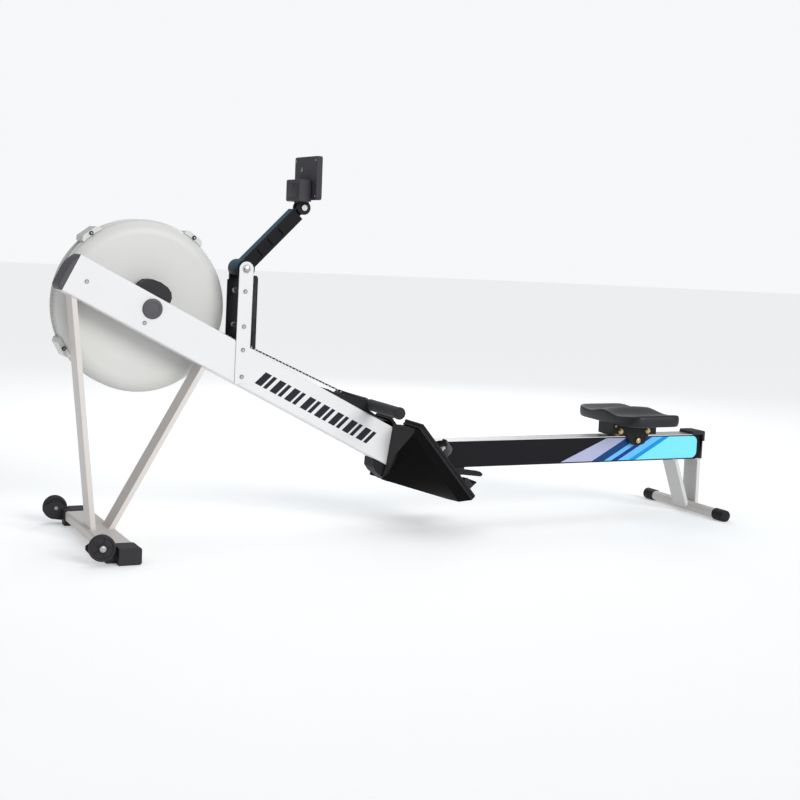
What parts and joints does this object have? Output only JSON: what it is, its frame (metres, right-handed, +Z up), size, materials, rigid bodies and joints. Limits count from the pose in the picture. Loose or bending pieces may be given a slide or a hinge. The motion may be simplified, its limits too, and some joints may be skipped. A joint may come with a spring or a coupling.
{
  "type": "rowing machine",
  "caption": "Free-standing air-resistance rowing machine: caged fan on a sloping beam, sliding seat on a rail, footrests, pull handle and swinging monitor.",
  "frame": {"origin": "on the floor, at the middle of the overall length and width", "axes": "+X from the fan end to the seat end, +Y to the side that the fan drum is on, +Z up"},
  "size_m": [2.3814, 0.664, 1.206],
  "materials": {
    "white_paint": "satin powder coat",
    "nose_plastic": "fine grain",
    "black_plastic": "fine grain",
    "dark_plastic": "fine grain",
    "axle_cap_plastic": "satin",
    "bolt_steel": "zinc plated",
    "bar_steel": "polished",
    "drum_paint": "satin paint",
    "drum_band": "perforated, satin paint",
    "flywheel_steel": "satin",
    "chain_steel": "nickel plated",
    "elastic_cord": "braided cover",
    "roller_nylon": "smooth",
    "bracket_steel": "satin",
    "leg_paint": "satin powder coat",
    "rear_leg_paint": "satin powder coat",
    "wheel_rubber": "moulded",
    "mast_paint": "satin powder coat",
    "arm_plastic": "fine grain",
    "monitor_plastic": "fine grain",
    "screen_glass": "clear window",
    "key_rubber": "moulded",
    "grip_foam": "dense foam",
    "shroud_plastic": "fine grain",
    "cup_plastic": "satin",
    "strap_webbing": "woven",
    "rail_aluminium": "dark anodised",
    "track_steel": "brushed",
    "carriage_paint": "satin",
    "brassy_steel": "yellow zinc plated",
    "seat_foam": "moulded skin over foam"
  },
  "bodies": {
    "frame": {"main_beam": "white_paint", "beam_front_cap": "nose_plastic", "beam_tail_cap": "black_plastic", "frame_bolts": "bolt_steel", "fan_cover_near": "drum_paint", "fan_cage_band": "drum_band", "fan_cover_far": "drum_paint", "cage_clamps": "drum_paint", "axle_bearings": "bolt_steel", "axle_cap": "axle_cap_plastic", "hub_cover": "dark_plastic", "drive_chain": "chain_steel", "return_cord": "elastic_cord", "guide_axle": "bracket_steel", "base_tube": "leg_paint", "front_leg": "leg_paint", "rear_strut": "leg_paint", "base_caps": "dark_plastic", "mast_plate_near": "white_paint", "mast_channel": "mast_paint", "handle_holder": "black_plastic", "foot_boards": "black_plastic", "foot_shrouds": "shroud_plastic", "foot_straps": "strap_webbing", "monorail": "rail_aluminium", "rail_track": "track_steel", "rail_end_cap": "dark_plastic", "rail_front_bracket": "bracket_steel", "latch_mount": "bracket_steel", "rear_legs": "rear_leg_paint", "rear_foot_tube": "leg_paint", "rear_foot_caps": "black_plastic"},
    "flywheel": {"flywheel_fan": "flywheel_steel", "flywheel_axle": "bolt_steel"},
    "sprocket": {"sprocket": "chain_steel"},
    "guide": {"guide_roller": "roller_nylon"},
    "handle": {"handle_bar": "bar_steel", "handle_grips": "grip_foam", "handle_yoke": "black_plastic"},
    "seat": {"seat_pad": "seat_foam", "carriage_frame": "carriage_paint", "roller_axles": "brassy_steel"},
    "rollers_front": {"seat_rollers_front": "roller_nylon"},
    "rollers_rear": {"seat_rollers_rear": "roller_nylon"},
    "rollers_lower": {"lower_rollers": "roller_nylon"},
    "wheel_near": {"transport_wheel_near": "wheel_rubber"},
    "wheel_far": {"transport_wheel_far": "wheel_rubber"},
    "arm": {"monitor_arm": "arm_plastic"},
    "monitor": {"monitor_yoke": "black_plastic", "tilt_bolt": "bolt_steel", "monitor_body": "monitor_plastic", "screen_panel": "screen_glass", "battery_box": "monitor_plastic"},
    "key_1": {"monitor_key_1": "key_rubber"},
    "key_2": {"monitor_key_2": "key_rubber"},
    "key_3": {"monitor_key_3": "key_rubber"},
    "damper": {"damper_shutter": "black_plastic"},
    "heel_near": {"heel_cup_near": "cup_plastic"},
    "heel_far": {"heel_cup_far": "cup_plastic"},
    "latch": {"latch_lever": "black_plastic"}
  },
  "joints": [
    {"name": "flywheel_spin", "type": "hinge", "parent": "frame", "child": "flywheel", "pos_m": [-0.90682, 0.11, 0.72], "axis": [0, 1, 0], "continuous": true},
    {"name": "handle_pull", "type": "slide", "parent": "frame", "child": "handle", "axis": [0.984, 0, 0.178], "range_m": [0, 0.9], "stiffness_N_per_m": 40, "springref_m": -0.5},
    {"name": "sprocket_turn", "type": "hinge", "parent": "frame", "child": "sprocket", "pos_m": [-0.90682, 0, 0.72], "axis": [0, 1, 0], "range_deg": [-10, 1730]},
    {"name": "guide_turn", "type": "hinge", "parent": "frame", "child": "guide", "pos_m": [-0.60381, 0, 0.63414], "axis": [0, 1, 0], "range_deg": [-3620, 10]},
    {"name": "seat_slide", "type": "slide", "parent": "frame", "child": "seat", "axis": [1, 0, 0], "range_m": [-0.6, 0.18]},
    {"name": "rollers_front_turn", "type": "hinge", "parent": "seat", "child": "rollers_front", "pos_m": [0.81468, 0, 0.307], "axis": [0, 1, 0], "range_deg": [-1920, 580]},
    {"name": "rollers_rear_turn", "type": "hinge", "parent": "seat", "child": "rollers_rear", "pos_m": [0.93068, 0, 0.307], "axis": [0, 1, 0], "range_deg": [-1920, 580]},
    {"name": "rollers_lower_turn", "type": "hinge", "parent": "seat", "child": "rollers_lower", "pos_m": [0.88868, 0, 0.2729], "axis": [0, 1, 0], "range_deg": [-800, 2660]},
    {"name": "wheel_near_turn", "type": "hinge", "parent": "frame", "child": "wheel_near", "pos_m": [-1.11532, -0.315, 0.052], "axis": [0, 1, 0], "continuous": true},
    {"name": "wheel_far_turn", "type": "hinge", "parent": "frame", "child": "wheel_far", "pos_m": [-1.11532, 0.315, 0.052], "axis": [0, 1, 0], "continuous": true},
    {"name": "arm_swing", "type": "hinge", "parent": "frame", "child": "arm", "pos_m": [-0.61132, 0, 0.848], "axis": [0, 1, 0], "range_deg": [-40, 30]},
    {"name": "monitor_tilt", "type": "hinge", "parent": "arm", "child": "monitor", "pos_m": [-0.41532, 0, 1.045], "axis": [0, 1, 0], "range_deg": [-25, 25]},
    {"name": "key_1_press", "type": "slide", "parent": "monitor", "child": "key_1", "axis": [-1, 0, 0], "range_m": [0, 0.002], "stiffness_N_per_m": 400, "springref_m": -0.001},
    {"name": "key_2_press", "type": "slide", "parent": "monitor", "child": "key_2", "axis": [-1, 0, 0], "range_m": [0, 0.002], "stiffness_N_per_m": 400, "springref_m": -0.001},
    {"name": "key_3_press", "type": "slide", "parent": "monitor", "child": "key_3", "axis": [-1, 0, 0], "range_m": [0, 0.002], "stiffness_N_per_m": 400, "springref_m": -0.001},
    {"name": "damper_turn", "type": "hinge", "parent": "frame", "child": "damper", "pos_m": [-0.90682, 0.1909, 0.72], "axis": [0, 1, 0], "range_deg": [0, 60]},
    {"name": "heel_near_slide", "type": "slide", "parent": "frame", "child": "heel_near", "axis": [0.6414, 0, -0.7672], "range_m": [-0.07, 0]},
    {"name": "heel_far_slide", "type": "slide", "parent": "frame", "child": "heel_far", "axis": [0.6414, 0, -0.7672], "range_m": [-0.07, 0]},
    {"name": "latch_swing", "type": "hinge", "parent": "frame", "child": "latch", "pos_m": [0.17968, 0, 0.178], "axis": [0, 1, 0], "range_deg": [0, 50]}
  ],
  "couplings": [
    {"joint": "sprocket_turn", "follows": "handle_pull", "rad_per_m": 33.333},
    {"joint": "guide_turn", "follows": "handle_pull", "rad_per_m": -69.9},
    {"joint": "rollers_front_turn", "follows": "seat_slide", "rad_per_m": 55.556},
    {"joint": "rollers_rear_turn", "follows": "seat_slide", "rad_per_m": 55.556},
    {"joint": "rollers_lower_turn", "follows": "seat_slide", "rad_per_m": -76.923}
  ]
}
